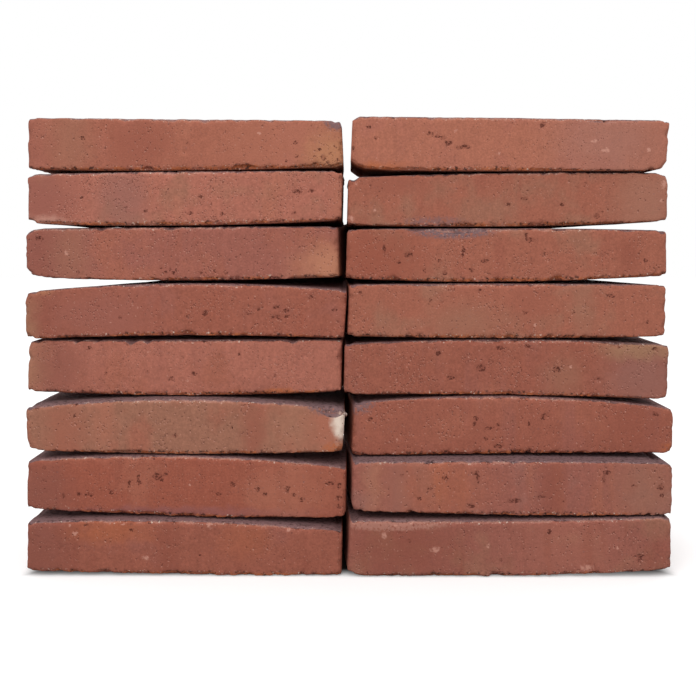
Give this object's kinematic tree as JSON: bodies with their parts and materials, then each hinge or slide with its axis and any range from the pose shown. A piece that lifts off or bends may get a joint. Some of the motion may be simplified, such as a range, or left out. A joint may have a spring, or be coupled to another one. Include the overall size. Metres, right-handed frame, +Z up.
{
  "type": "stack of bricks",
  "caption": "Dry stack of thin hand-moulded red clay bricks, laid flat in two columns with their long narrow faces showing.",
  "frame": {"origin": "middle of the stack's bounding box, on the floor that it stands on", "axes": "+X to the right along the bricks, -Y towards the side that the picture shows, +Z up"},
  "size_m": [0.4854, 0.138, 0.3378],
  "materials": {
    "fired_clay": "matt, sanded and pitted hand-moulded clay, fired red with greyer and paler bands"
  },
  "bodies": {
    "root": {"brick_left_1": "fired_clay", "brick_left_2": "fired_clay", "brick_left_3": "fired_clay", "brick_left_4": "fired_clay", "brick_left_5": "fired_clay", "brick_left_6": "fired_clay", "brick_left_7": "fired_clay", "brick_left_8": "fired_clay", "brick_right_1": "fired_clay", "brick_right_2": "fired_clay", "brick_right_3": "fired_clay", "brick_right_4": "fired_clay", "brick_right_5": "fired_clay", "brick_right_6": "fired_clay", "brick_right_7": "fired_clay", "brick_right_8": "fired_clay"}
  },
  "joints": []
}
